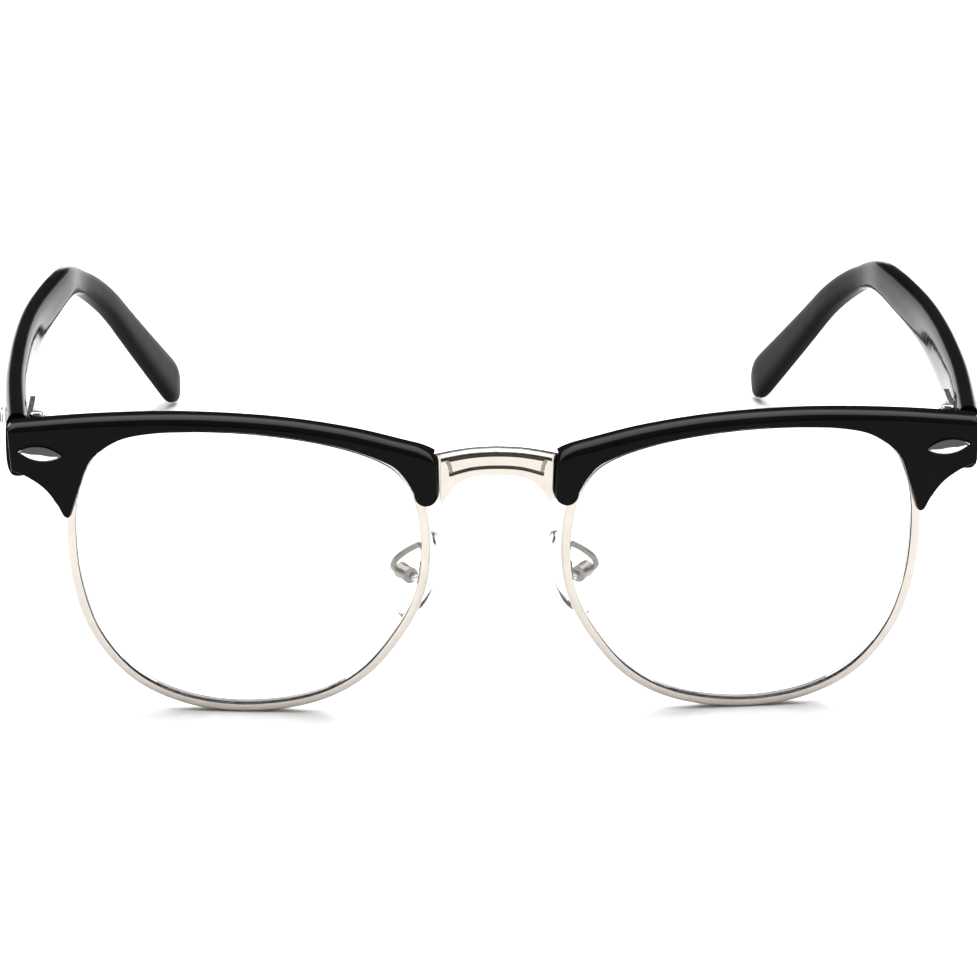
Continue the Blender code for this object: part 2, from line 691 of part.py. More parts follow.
def build_temple():
    """The acetate temple, with the channel for its wire core open at the hinge end."""
    length = temple_length()
    body_end = length - TEMPLE_TIP_STEPS[0][0]
    rings = []
    for back, size in reversed(TEMPLE_TIP_STEPS):
        half_height = 0.5 * value_at(TEMPLE_HEIGHT, length) * size
        half_thickness = 0.5 * value_at(TEMPLE_THICKNESS, length) * size
        rings.append(temple_ring(length - back, half_thickness, half_height))
    for distance in reversed(temple_stations(body_end)[:-1]):
        half_height = 0.5 * value_at(TEMPLE_HEIGHT, distance)
        half_thickness = 0.5 * value_at(TEMPLE_THICKNESS, distance)
        rings.append(temple_ring(distance, half_thickness, half_height))
    wide, tall = CORE_HALF_THICKNESS + CORE_CLEARANCE, CORE_HALF_HEIGHT + CORE_CLEARANCE
    for distance in temple_stations(CORE_END + 1.0):
        rings.append(temple_ring(distance, wide, tall, core_drop(distance)))
    recess = box(
        (HINGE_RECESS[0], HINGE_RECESS[2], HINGE_RECESS[4]), (HINGE_RECESS[1], HINGE_RECESS[3], HINGE_RECESS[5]))
    pins = [rod((60.0, y, TEMPLE_PLAQUE_Z), (75.0, y, TEMPLE_PLAQUE_Z), PLAQUE_PIN_RADIUS + JOINT_GAP, 12)
            for y in temple_pin_places()]
    return combined(loft(rings), cuts=[recess, *pins])


def build_core():
    rings = []
    for distance in temple_stations(CORE_END):
        rings.append(temple_ring(distance + 0.3, CORE_HALF_THICKNESS, CORE_HALF_HEIGHT, core_drop(distance + 0.3)))
    return loft(rings)


def temple_pin_places():
    half = 0.5 * PLAQUE_PIN_SPACING
    return TEMPLE_PLAQUE_Y - half, TEMPLE_PLAQUE_Y + half


def temple_side_x(y):
    return temple_plan(y) + 0.5 * value_at(TEMPLE_THICKNESS, y)


def on_temple(along, height, z):
    y = TEMPLE_PLAQUE_Y + along
    half = PLAQUE_HALF_LENGTH
    ends = temple_side_x(TEMPLE_PLAQUE_Y - half), temple_side_x(TEMPLE_PLAQUE_Y + half)
    face = ends[0] + (ends[1] - ends[0]) * (along + half) / (2.0 * half)
    return Vector((face + 2.0 * JOINT_GAP + height, y, TEMPLE_PLAQUE_Z + z))


def build_temple_plaque():
    """The same almond on the outside of the temple, its pins reaching the hinge leaf."""
    pins = []
    for y in temple_pin_places():
        head = (temple_side_x(y) + 2.0 * JOINT_GAP + 0.2, y, TEMPLE_PLAQUE_Z)
        pins.append(rod((LEAF_X[0] + 0.1, y, TEMPLE_PLAQUE_Z), head, PLAQUE_PIN_RADIUS, 12))
    return combined(ridged_almond(on_temple), joins=pins)


# ---------------------------------------------------------------- nose pads

def pad_axes():
    """Unit vectors of a pad: down its length, across its width, and towards the nose."""
    across = Vector((math.sin(PAD_SPLAY), math.cos(PAD_SPLAY), 0.0))
    down = Vector((
        math.cos(PAD_SPLAY) * math.sin(PAD_FLARE), -math.sin(PAD_SPLAY) * math.sin(PAD_FLARE),
        -math.cos(PAD_FLARE)))
    return down, across, across.cross(down)


def from_pad(down_by, across_by, toward):
    down, across, nose = pad_axes()
    return Vector(PAD_PIVOT) + down * down_by + across * across_by + nose * toward


def pad_box(down_low, down_high, across_low, across_high, toward_low, toward_high):
    outline = rectangle(down_low, down_high, across_low, across_high)
    return loft([[from_pad(a, b, level) for a, b in outline] for level in (toward_low, toward_high)])


def build_nose_pad():
    """A soft teardrop pad with the boss that its screw goes through."""
    rings = []
    around, levels = 20, 9
    for level in range(1, levels):
        tilt = math.pi * level / levels
        ring = []
        for index in range(around):
            angle = 2.0 * math.pi * index / around
            along = math.sin(tilt) ** 0.6 * math.cos(angle)
            width = PAD_HALF_WIDTH * (1.0 + 0.12 * along)
            ring.append(from_pad(
                PAD_HALF_LENGTH * along, width * math.sin(tilt) ** 0.6 * math.sin(angle),
                PAD_STANDOFF - PAD_HALF_THICKNESS * math.cos(tilt)))
        rings.append(ring)
    half_down, half_across, back = PAD_BOSS
    boss = pad_box(-half_down, half_down, -half_across, half_across, -back, PAD_STANDOFF)
    bore = rod(from_pad(0.0, -3.0, 0.0), from_pad(0.0, 3.0, 0.0), PAD_SCREW_RADIUS + JOINT_GAP, 12)
    return combined(loft(rings), joins=[boss], cuts=[bore])


def build_pad_cup():
    """A U shaped metal cup whose cheeks hold the pad's screw."""
    half_down, half_across = CUP_HALF
    block = pad_box(-half_down, half_down, -half_across, half_across, -CUP_BACK, CUP_RIM)
    slot = pad_box(-3.0, 3.0, -CUP_SLOT_HALF, CUP_SLOT_HALF, CUP_WALL - CUP_BACK, 3.0)
    bore = rod(from_pad(0.0, -3.0, 0.0), from_pad(0.0, 3.0, 0.0), PAD_SCREW_RADIUS + JOINT_GAP, 12)
    return combined(block, cuts=[slot, bore])


def build_pad_screw():
    half_across = CUP_HALF[1]
    return screw(
        from_pad(0.0, half_across + 0.2, 0.0), from_pad(0.0, -half_across - JOINT_GAP, 0.0),
        PAD_SCREW_RADIUS, PAD_SCREW_HEAD, 12)


def build_pad_arm():
    """A bent wire from the back of the rim to the back of the cup."""
    path = spline(ARM_PATH, 2)
    rings = []
    for index, point in enumerate(path):
        before = path[max(index - 1, 0)]
        after = path[min(index + 1, len(path) - 1)]
        along = (after - before).normalized()
        if index == 0:
            along = Vector((0.0, 1.0, 0.0))
        side, up = frame_along(along)
        ring = []
        for step in range(8):
            angle = 2.0 * math.pi * step / 8
            ring.append(point + (side * math.cos(angle) + up * math.sin(angle)) * ARM_RADIUS)
        rings.append(ring)
    return loft(rings)


# ---------------------------------------------------------------- assembly

def main():
    clear_scene()
    origin = bpy.data.objects.new("eyeglasses", None)
    origin.location = (0.0, -CENTRE_Y * MM, 0.0)
    bpy.context.scene.collection.objects.link(origin)

    add_object("bridge", build_bridge(), "silver_metal", origin)
    fixed_pairs = (
        ("rim", build_rim, "silver_metal"),
        ("rim_lock_screw", build_rim_screw, "screw_steel"),
        ("lens", build_lens, "lens"),
        ("brow", build_brow, "black_acetate"),
        ("brow_plaque", build_plaque, "chrome"),
        ("brow_screw", build_brow_screw, "screw_steel"),
        ("end_piece", build_end_piece, "silver_metal"),
        ("hinge_screw", build_hinge_screw, "screw_steel"),
        ("pad_arm", build_pad_arm, "silver_metal"),
        ("pad_cup", build_pad_cup, "silver_metal"),
        ("pad_screw", build_pad_screw, "screw_steel"),
    )
    for name, build, colour in fixed_pairs:
        add_pair(name, build(), colour, origin)

    hinge = (HINGE_X, HINGE_Y, BARREL_LEVELS[2])
    temple_pieces = (
        ("temple", build_temple, "black_acetate"),
        ("temple_core", build_core, "screw_steel"),
        ("temple_hinge", build_temple_leaf, "silver_metal"),
        ("temple_plaque", build_temple_plaque, "chrome"),
    )
    for name, build, colour in temple_pieces:
        add_pair(name, build(), colour, origin, hinge)
    add_pair("nose_pad", build_nose_pad(), "clear_silicone", origin, PAD_PIVOT)


main()
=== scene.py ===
"""The looks of half rim (browline) eyeglasses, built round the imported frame.

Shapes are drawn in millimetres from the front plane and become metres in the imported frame's
place where a mesh is made. Each side piece is built for the wearer's left and mirrored.
The front of each side lies in a plane of its own, with u outward, w backward and v upward.
"""

import math

import bmesh
import bpy
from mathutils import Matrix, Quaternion, Vector

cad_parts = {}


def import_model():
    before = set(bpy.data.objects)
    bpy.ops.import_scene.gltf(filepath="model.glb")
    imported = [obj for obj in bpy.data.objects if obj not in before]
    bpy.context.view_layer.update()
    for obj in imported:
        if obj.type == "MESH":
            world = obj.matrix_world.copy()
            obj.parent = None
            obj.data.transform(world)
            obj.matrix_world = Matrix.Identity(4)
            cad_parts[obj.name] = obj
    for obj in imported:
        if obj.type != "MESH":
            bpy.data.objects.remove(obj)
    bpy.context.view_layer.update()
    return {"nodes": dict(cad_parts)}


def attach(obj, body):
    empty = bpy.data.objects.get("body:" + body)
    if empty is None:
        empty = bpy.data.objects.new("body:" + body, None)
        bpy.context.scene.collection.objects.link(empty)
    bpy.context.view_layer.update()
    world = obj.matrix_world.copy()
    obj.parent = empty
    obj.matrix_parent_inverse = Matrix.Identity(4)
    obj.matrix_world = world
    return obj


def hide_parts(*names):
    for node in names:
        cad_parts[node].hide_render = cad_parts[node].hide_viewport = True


MM = 0.001

# Overall place of the front
WRAP = math.radians(4.0)
WRAP_U = 10.0
CENTRE_Y = 69.05

# Gap between parts that sit on each other, and how far a cutter runs past what it cuts
SEAT_GAP = 0.12
CUT_BEYOND = 2.0

# Rounded edges
EDGE_STEPS = 10
CAP_MARGIN = 0.06
OUTLINE_STEP = 0.45

# Rim wire
RIM_OUTLINE = [
    (9.4, 25.5), (10.3, 18.8), (13.2, 12.6), (18.4, 6.0), (25.6, 1.75), (35.5, 0.0), (45.0, 1.1),
    (52.6, 4.9), (58.0, 11.6), (60.6, 19.5), (61.25, 28.0), (60.4, 34.6), (57.6, 40.3), (52.5, 43.5),
    (44.0, 44.4), (34.0, 44.15), (24.0, 42.75), (16.4, 40.4), (12.4, 37.4), (10.2, 32.6),
]
RIM_STEPS = 12
RIM_RADIAL = 1.35
RIM_FRONT = 1.55
RIM_BACK = 3.75
RIM_MIDDLE = 0.5 * (RIM_FRONT + RIM_BACK)
RIM_ROUND = 0.5
GROOVE_DEPTH = 0.575
GROOVE_LIP = 0.4
RIM_SPLIT_V = 34.0
RIM_SPLIT_GAP = 0.16
TEMPORAL_U = 30.0
SPLIT_CLEAR = 0.5
BLOCK_U = (60.35, 63.0)
BLOCK_HALF_HEIGHT = 2.2
BLOCK_INSET = 0.1
BLOCK_SCREW_U = 62.05

# Lens
LENS_THICKNESS = 2.0
LENS_BULGE = 1.3
LENS_GAP = 0.15
LENS_BEVEL_TIP = 0.925
LENS_RINGS = 12
LENS_MIDDLE = 0.015
LENS_EDGE_HALF = 0.5

# Brow
BROW_TOP = [
    (8.25, 38.6), (8.7, 39.9), (10.4, 40.8), (13.0, 41.5), (21.3, 43.4), (31.9, 44.8), (44.5, 45.3),
    (57.0, 44.8), (68.8, 43.7),
]
BROW_TEMPORAL_EDGE = [
    (69.2, 43.2), (69.2, 37.2), (67.0, 36.45), (64.35, 34.65), (62.6, 32.4), (61.85, 30.9),
]
BROW_LEG_TIP = [(61.5, 30.3), (60.9, 30.0), (60.35, 30.3)]
BROW_LENS_EDGE = [
    (60.0, 31.3), (58.9, 34.6), (57.5, 38.4), (55.1, 40.75), (51.8, 42.35), (46.0, 43.2), (38.5, 43.4),
    (31.0, 42.9), (22.0, 41.35), (15.6, 39.1), (13.3, 37.1), (11.9, 34.7),
]
BROW_LOBE_CENTRE = (10.0, 34.5)
BROW_LOBE_RADIUS = 1.85
BROW_DEPTH = 4.0
BROW_PLATE = 1.4
BROW_ROUNDING = (0.8, 0.3, 3.6)
LEG_ROOM = (57.0, 66.5, 29.0, 37.0)
LOBE_ROOM = (7.0, 13.0, 31.0, 40.05)
LOBE_ROOM_FRONT = 2.5

# Bridge
BRIDGE_HALF_WIDTH = 7.85
BRIDGE_TOP = [(0.0, 40.7), (4.0, 40.46), (8.0, 39.75), (10.0, 39.15)]
BRIDGE_UNDERSIDE = [(7.6, 32.7), (6.7, 34.2), (5.5, 35.7), (3.6, 36.7), (0.0, 37.1)]
BRIDGE_FRONT = 1.0
BRIDGE_BACK = 3.5
BRIDGE_TAB_FRONT = 2.62
BRIDGE_TAB_REACH = 16.0
BRIDGE_TAB_LEVELS = (30.0, 42.0)
BRIDGE_RIM_OUTSET = 0.4
BRIDGE_SIDE_U = 13.0
BRIDGE_SIDE_LEVELS = (32.9, 38.6)
BRIDGE_GROOVE_CENTRE = BRIDGE_FRONT + 0.03
BRIDGE_GROOVES = [
    [(-6.9, 39.5), (-3.5, 40.1), (0.0, 40.3), (3.5, 40.1), (6.9, 39.5)],
    [(-6.7, 37.3), (-3.5, 38.2), (0.0, 38.45), (3.5, 38.2), (6.7, 37.3)],
]
BRIDGE_NOTCHES = [
    [(-6.95, 39.4), (-6.6, 38.6), (-6.4, 37.35)],
    [(6.95, 39.4), (6.6, 38.6), (6.4, 37.35)],
]
GROOVE_HALF_WIDTH = 0.3
BRIDGE_ROUNDING = (0.55, 0.2, 2.2)
BROW_SCREW_PLACE = (9.75, 37.2)

# Plaques
PLAQUE_CENTRE = (64.4, 40.0)
PLAQUE_HALF_LENGTH = 3.15
PLAQUE_HALF_HEIGHT = 1.12
PLAQUE_HEIGHT = 0.75
PLAQUE_TILT = math.radians(6.0)
PLAQUE_RIDGE = 0.35
PLAQUE_LEVELS = ((1.0, 0.0), (1.0, 0.14), (0.94, 0.26), (0.5, 0.54), (0.14, 0.71), (0.04, PLAQUE_HEIGHT))
TEMPLE_PLAQUE = (17.0, 40.9)

# Hinge
HINGE = (65.2, 12.0)
BARREL_LEVELS = (36.6, 42.6)
HINGE_RECESS = ((60.0, 5.0, 36.3), (66.95, 23.0, 43.0))

# Temple
TEMPLE_FRONT_Y = 8.55
TEMPLE_SLOPE = math.radians(2.5)
TEMPLE_TOP_Z = 44.3
TEMPLE_BEND_Y = 87.6
TEMPLE_BEND_RADIUS = 43.9
TEMPLE_DROP_SLOPE = math.radians(48.1)
TEMPLE_DROP_LENGTH = 27.2
TEMPLE_PLAN = [(8.5, 67.7), (35.0, 69.7), (65.0, 69.7), (90.0, 66.7), (110.0, 63.0), (141.0, 47.9)]
TEMPLE_THICKNESS = [(0.0, 3.5), (30.0, 3.3), (95.0, 3.15), (140.0, 2.9)]
TEMPLE_HEIGHT = [
    (0.0, 9.4), (12.0, 9.0), (40.0, 8.2), (75.0, 6.4), (97.0, 4.0), (115.0, 5.4), (136.0, 7.8),
]
TEMPLE_RINGS = 130
TEMPLE_SIDES = 48
TEMPLE_SQUARENESS = 3.2
TEMPLE_TIP = 4.2
TEMPLE_TIP_STEPS = 10
TEMPLE_TIP_SHORT = 0.3
TEMPLE_TIP_FLAT = 0.6
TEMPLE_TIP_POWER = 0.85

# Nose pads
PAD_SPLAY = math.radians(32.0)
PAD_FLARE = math.radians(25.0)
PAD_PIVOT = (12.4, 8.6, 19.6)
PAD_HALF = (6.6, 3.8, 1.2)
PAD_STANDOFF = 2.0
PAD_BOSS = (0.8, 0.55, 0.9)
PAD_AROUND = 56
PAD_LEVELS = 26
PAD_FULLNESS = 0.6
PAD_TAPER = 0.12
CUP_HALF_ACROSS = 1.35
CUP_RADIUS = 1.2
CUP_BACK = 1.65
CUP_WALL = 0.45
CUP_SLOT_HALF = 0.7
ARM_RADIUS = 0.45
ARM_PATH = [
    (9.95, 3.9, 25.6), (10.2, 4.7, 25.6), (11.1, 5.5, 25.2), (12.7, 5.8, 24.2), (14.1, 6.1, 22.9),
    (14.6, 6.8, 21.6), (14.3, 7.4, 20.75), (13.79, 7.72, 20.36),
]

# Screws: the radius of each, then its head's radius and height
HINGE_SCREW = (0.6, (1.05, 0.6))
BROW_SCREW = (0.5, (0.95, 0.55))
RIM_SCREW = (0.42, (0.75, 0.5))
PAD_SCREW = (0.33, (0.6, 0.45))
SCREW_TIP_IN = 0.2
SCREW_SLOT_HALF = 0.14
SCREW_DOME_STEPS = 7
SCREW_DOME_POWER = 0.45
SCREW_SIDES = 36
BROW_SCREW_TIP = 1.0

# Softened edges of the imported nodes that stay
METAL_EDGE = 0.12
CORE_EDGE = 0.1

# Camera: distance, elevation, azimuth and roll about a target on the front, and its lens
CAMERA_TARGET = (-1.169, 0.0, 35.623)
CAMERA_DISTANCE = 589.27
CAMERA_ELEVATION = math.radians(21.2)
CAMERA_AZIMUTH = math.radians(-2.153)
CAMERA_ROLL = math.radians(0.291)
CAMERA_LENS = 154.05

# Where the temples turn from gloss to satin, as world y
SATIN_FROM = 22.0
SATIN_TO = 50.0

# Surroundings: the floor, the sky's grey level by elevation, and a soft sun
FLOOR_HALF_SIZE = 4000.0
FLOOR_COLOUR = (0.93, 0.93, 0.93)
SKY_BEFORE = ((-90.0, 0.9), (0.0, 0.9), (12.0, 0.5), (20.0, 0.12), (60.0, 0.12), (90.0, 0.05))
SKY_BEHIND = (
    (-90.0, 0.5), (2.0, 0.5), (7.0, 0.07), (27.0, 0.07), (31.0, 4.0), (44.0, 4.0), (49.0, 0.05),
)
SKY_BLEND = 0.08
SKY_STRENGTH = 5.0
SUN_STRENGTH = 5.0
SUN_ANGLE = math.radians(70.0)
SUN_TURN = (math.radians(-14.0), math.radians(8.0), 0.0)


# ---------------------------------------------------------------- curves and outlines

def spline(points, steps, closed=False):
    """Points on a Catmull-Rom curve through the given points, with `steps` to a span."""
    count = len(points)
    curve = []
    for index in range(count if closed else count - 1):
        if closed:
            near = [Vector(points[(index + offset) % count]) for offset in (-1, 0, 1, 2)]
        else:
            near = [Vector(points[min(max(index + offset, 0), count - 1)]) for offset in (-1, 0, 1, 2)]
        before, start, end, after = near
        for step in range(steps):
            t = step / steps
            curve.append(0.5 * (
                2.0 * start
                + (end - before) * t
                + (2.0 * before - 5.0 * start + 4.0 * end - after) * t ** 2
                + (3.0 * start - before - 3.0 * end + after) * t ** 3
            ))
    if not closed:
        curve.append(Vector(points[-1]))
    return curve


def inset(loop, distance):
    """A closed outline moved inward; the outline runs with its inside on the left."""
    moved = []
    for index, point in enumerate(loop):
        along = (loop[(index + 1) % len(loop)] - loop[index - 1]).normalized()
        moved.append(point + Vector((-along.y, along.x)) * distance)
    return moved


def value_at(table, place):
    """Straight interpolation in a table of (place, value) pairs."""
    if place <= table[0][0]:
        return table[0][1]
    for (start, low), (end, high) in zip(table, table[1:]):
        if place <= end:
            return low + (high - low) * (place - start) / (end - start)
    return table[-1][1]


def arc(centre, radius, start, end, steps):
    """Points on an arc, with angles in degrees."""
    angles = [math.radians(start + (end - start) * step / steps) for step in range(steps + 1)]
    return [Vector((centre[0] + radius * math.cos(a), centre[1] + radius * math.sin(a))) for a in angles]


def rectangle(low_u, high_u, low_v, high_v):
    corners = ((low_u, low_v), (high_u, low_v), (high_u, high_v), (low_u, high_v))
    return [Vector(corner) for corner in corners]


def from_front(u, w, v):
    """Place of a point in the wearer's left front plane."""
    x = WRAP_U + (u - WRAP_U) * math.cos(WRAP) - w * math.sin(WRAP)
    y = (u - WRAP_U) * math.sin(WRAP) + w * math.cos(WRAP)
    return Vector((x, y, v))


def straight(u, w, v):
    return Vector((u, w, v))


# ---------------------------------------------------------------- solids

def loft(rings, capped=True):
    """A solid from rings of equal length, joined in order and closed at both ends or into a loop."""
    solid = bmesh.new()
    made = [[solid.verts.new(point) for point in ring] for ring in rings]
    pairs = list(zip(made, made[1:]))
    if not capped:
        pairs.append((made[-1], made[0]))
    for low, high in pairs:
        for index in range(len(low)):
            after = (index + 1) % len(low)
            solid.faces.new((low[index], low[after], high[after], high[index]))
    if capped:
        solid.faces.new(made[0])
        solid.faces.new(made[-1])
    bmesh.ops.recalc_face_normals(solid, faces=solid.faces)
    return solid


def prism(outline, near, far, place=from_front):
    return loft([[place(u, w, v) for u, v in outline] for w in (near, far)])


def thinned(outline, least):
    """The outline without the points that crowd the one before them."""
    kept = [outline[0]]
    for point in outline[1:]:
        if (point - kept[-1]).length > least:
            kept.append(point)
    return kept


def rounded_prism(outline, near, far, rounding, place=from_front):
    """A prism whose front edge is rounded; the outline runs with its inside on the right.

    `rounding` is (inset on an edge that faces up, inset on any other edge, depth of the rounding)."""
    above, beside, deep = rounding
    loop = thinned(list(reversed(outline)), OUTLINE_STEP)
    directions = []
    insets = []
    for index in range(len(loop)):
        along = (loop[(index + 1) % len(loop)] - loop[index - 1]).normalized()
        directions.append(along)
        insets.append(beside + (above - beside) * max(0.0, along.x * -1.0) ** 2)
    levels = [(1.0, CAP_MARGIN, near)]
    for step in range(EDGE_STEPS + 1):
        turn = 0.5 * math.pi * step / EDGE_STEPS
        levels.append((1.0 - math.sin(turn), 0.0, near + deep * (1.0 - math.cos(turn))))
    levels.append((0.0, 0.0, far))
    rings = []
    for size, extra, w in levels:
        ring = []
        for point, along, deepest in zip(loop, directions, insets):
            moved = point + Vector((-along.y, along.x)) * (deepest * size + extra)
            ring.append(place(moved.x, w, moved.y))
        rings.append(ring)
    return loft(rings)


def box(low, high):
    return prism(rectangle(low[0], high[0], low[2], high[2]), low[1], high[1], straight)


def frame_along(direction):
    """Two unit vectors square to a direction and to each other."""
    side = direction.cross(Vector((0, 0, 1)))
    if side.length < 1e-6:
        side = Vector((1, 0, 0))
    side.normalize()
    return side, side.cross(direction).normalized()


def turned(start, end, profile, sides):
    """A turned solid on the line from start to end; the profile gives (distance along, radius)."""
    start, end = Vector(start), Vector(end)
    along = (end - start).normalized()
    side, up = frame_along(along)
    rings = []
    for distance, radius in profile:
        ring = []
        for index in range(sides):
            angle = 2.0 * math.pi * index / sides
            outward = side * math.cos(angle) + up * math.sin(angle)
            ring.append(start + along * distance + outward * radius)
        rings.append(ring)
    return loft(rings)


def rod(start, end, radius, sides=32):
    length = (Vector(end) - Vector(start)).length
    return turned(start, end, [(0.0, radius), (length, radius)], sides)


def swept(path, radius, sides=16):
    """A round wire along a path."""
    rings = []
    for index, point in enumerate(path):
        along = (path[min(index + 1, len(path) - 1)] - path[max(index - 1, 0)]).normalized()
        side, up = frame_along(along)
        turns = [2.0 * math.pi * step / sides for step in range(sides)]
        rings.append([point + (side * math.cos(a) + up * math.sin(a)) * radius for a in turns])
    return loft(rings)


def temporary(solid):
    mesh = bpy.data.meshes.new("temporary")
    solid.to_mesh(mesh)
    holder = bpy.data.objects.new("temporary", mesh)
    bpy.context.scene.collection.objects.link(holder)
    return holder


def combined(base, joins=(), cuts=()):
    """The base solid with others joined to it and then others cut from it."""
    body = temporary(base)
    helpers = []
    for operation, solids in (("UNION", joins), ("DIFFERENCE", cuts)):
        for solid in solids:
            helper = temporary(solid)
            helpers.append(helper)
            modifier = body.modifiers.new(operation, "BOOLEAN")
            modifier.operation = operation
            modifier.object = helper
    evaluated = body.evaluated_get(bpy.context.evaluated_depsgraph_get())
    result = bmesh.new()
    result.from_mesh(evaluated.to_mesh())
    evaluated.to_mesh_clear()
    for holder in [body, *helpers]:
        mesh = holder.data
        bpy.data.objects.remove(holder)
        bpy.data.meshes.remove(mesh)
    bmesh.ops.remove_doubles(result, verts=result.verts, dist=1e-4)
    return result


# ---------------------------------------------------------------- pieces

def add_piece(name, solid, body, node, material, sharp=35.0):
    """One smooth shaded piece that rides on a body and stands for a node of the frame."""
    bmesh.ops.translate(solid, vec=(0.0, -CENTRE_Y, 0.0), verts=solid.verts)
    bmesh.ops.scale(solid, vec=(MM, MM, MM), verts=solid.verts)
    mesh = bpy.data.meshes.new(name)
    solid.to_mesh(mesh)
    solid.free()
    mesh.shade_smooth()
    mesh.set_sharp_from_angle(angle=math.radians(sharp))
    mesh.materials.append(material)
    piece = bpy.data.objects.new(name, mesh)
    bpy.context.scene.collection.objects.link(piece)
    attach(piece, body)
    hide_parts(node)
    return piece


def add_pair(name, solid, bodies, node, material, sharp=35.0):
    """The wearer's left piece and its mirror image for the wearer's right."""
    mirrored = solid.copy()
    bmesh.ops.scale(mirrored, vec=(-1.0, 1.0, 1.0), verts=mirrored.verts)
    bmesh.ops.reverse_faces(mirrored, faces=mirrored.faces)
    add_piece(name + "_left", solid, bodies[0], node + "_left", material, sharp)
    add_piece(name + "_right", mirrored, bodies[1], node + "_right", material, sharp)


# ---------------------------------------------------------------- rims and lenses

def rim_loop():
    return spline(RIM_OUTLINE, RIM_STEPS, closed=True)


def opened_loop(loop):
    """The rim's outline opened at its temporal split: start just above it, end just below it."""
    cut = RIM_SPLIT_V
    for index, high in enumerate(loop):
        low = loop[index - 1]
        if low.x > TEMPORAL_U and low.y < cut <= high.y:
            ends = []
            for level in (cut - 0.5 * RIM_SPLIT_GAP, cut + 0.5 * RIM_SPLIT_GAP):
                ends.append(low.lerp(high, (level - low.y) / (high.y - low.y)))
            round_loop = loop[index:] + loop[:index]
            rest = [point for point in round_loop if (point - ends[0]).length > SPLIT_CLEAR]
            return [ends[1], *rest, ends[0]]
    raise ValueError("the outline never crosses the split")


def rim_section():
    """The wire's section as (inset from the outer edge, depth) pairs: rounded, with its lens groove."""
    deep, turn = RIM_RADIAL, RIM_ROUND
    section = []
    for centre, start in (((turn, RIM_FRONT + turn), 270.0), ((turn, RIM_BACK - turn), 180.0)):
        section += [tuple(point) for point in arc(centre, turn, start, start - 90.0, 5)]
    half_lip = 0.5 * GROOVE_LIP
    lips = []
    for w in (RIM_BACK - half_lip, RIM_FRONT + half_lip):
        lips.append([tuple(point) for point in arc((deep - half_lip, w), half_lip, 90.0, -90.0, 6)])
    return section + lips[0] + [(deep - GROOVE_DEPTH, RIM_MIDDLE)] + lips[1]


def build_rim():
    path = opened_loop(rim_loop())
    rings = []
    for index, point in enumerate(path):
        along = (path[min(index + 1, len(path) - 1)] - path[max(index - 1, 0)]).normalized()
        inward = Vector((-along.y, along.x))
        ring = []
        for depth_in, w in rim_section():
            moved = point + inward * depth_in
            ring.append(from_front(moved.x, w, moved.y))
        rings.append(ring)
    half_gap = 0.5 * RIM_SPLIT_GAP
    blocks = []
    for low, high in (
        (RIM_SPLIT_V + half_gap, RIM_SPLIT_V + BLOCK_HALF_HEIGHT),
        (RIM_SPLIT_V - BLOCK_HALF_HEIGHT, RIM_SPLIT_V - half_gap),
    ):
        block = rectangle(*BLOCK_U, low, high)
        blocks.append(prism(block, RIM_FRONT + BLOCK_INSET, RIM_BACK - BLOCK_INSET))
    return combined(loft(rings), joins=blocks)


def flat(point, w):
    return point.x, w, point.y


def build_lens():
    """A meniscus lens bulging forward, with a V edge that sits in the rim's groove."""
    loop = rim_loop()
    edge = inset(loop, RIM_RADIAL + LENS_GAP)
    tip = inset(loop, LENS_BEVEL_TIP)
    centre = sum(edge, Vector((0.0, 0.0))) / len(edge)
    sizes = [LENS_MIDDLE + (1.0 - LENS_MIDDLE) * step / LENS_RINGS for step in range(LENS_RINGS + 1)]
    front, back = RIM_MIDDLE - 0.5 * LENS_THICKNESS, RIM_MIDDLE + 0.5 * LENS_THICKNESS
    rings = []
    for w_edge, order in ((front, sizes), (back, sizes[::-1])):
        for size in order:
            w = w_edge - LENS_BULGE * (1.0 - size ** 2)
            rings.append([from_front(*flat(centre.lerp(point, size), w)) for point in edge])
        if len(rings) == len(sizes):
            rings.append([from_front(*flat(point, RIM_MIDDLE - LENS_EDGE_HALF)) for point in edge])
            rings.append([from_front(*flat(point, RIM_MIDDLE)) for point in tip])
            rings.append([from_front(*flat(point, RIM_MIDDLE + LENS_EDGE_HALF)) for point in edge])
    return loft(rings)


# ---------------------------------------------------------------- brows and bridge

def brow_outline():
    """The front face's outline, from the lobe up its inner side, along the top and back below."""
    outline = spline(BROW_TOP, 8)
    outline += [Vector(BROW_TEMPORAL_EDGE[0])]
    outline += spline(BROW_TEMPORAL_EDGE[1:], 8)
    outline += [Vector(point) for point in BROW_LEG_TIP]
    outline += spline(BROW_LENS_EDGE, 8)
    outline += arc(BROW_LOBE_CENTRE, BROW_LOBE_RADIUS, -10.0, -180.0, 24)
    return outline


def build_brow():
    """A plate over the rim with a thicker ridge round the outside of it."""
    behind = BROW_DEPTH + CUT_BEYOND
    plug = prism(inset(rim_loop(), -SEAT_GAP), BROW_PLATE, behind)
    leg_room = prism(rectangle(*LEG_ROOM), BROW_PLATE, behind)
    lobe_room = prism(rectangle(*LOBE_ROOM), LOBE_ROOM_FRONT, behind)
    plate = rounded_prism(brow_outline(), 0.0, BROW_DEPTH, BROW_ROUNDING)
    return combined(plate, cuts=[plug, leg_room, lobe_room])


def bridge_outline():
    """Half the arch: top edge outward, down beside the rim, and back along the underside."""
    beside = inset(rim_loop(), -BRIDGE_RIM_OUTSET)
    low, high = BRIDGE_SIDE_LEVELS
    side = [point for point in beside if point.x < BRIDGE_SIDE_U and low < point.y < high]
    side.sort(key=lambda point: -point.y)
    return spline(BRIDGE_TOP, 8) + side + spline(BRIDGE_UNDERSIDE, 8)


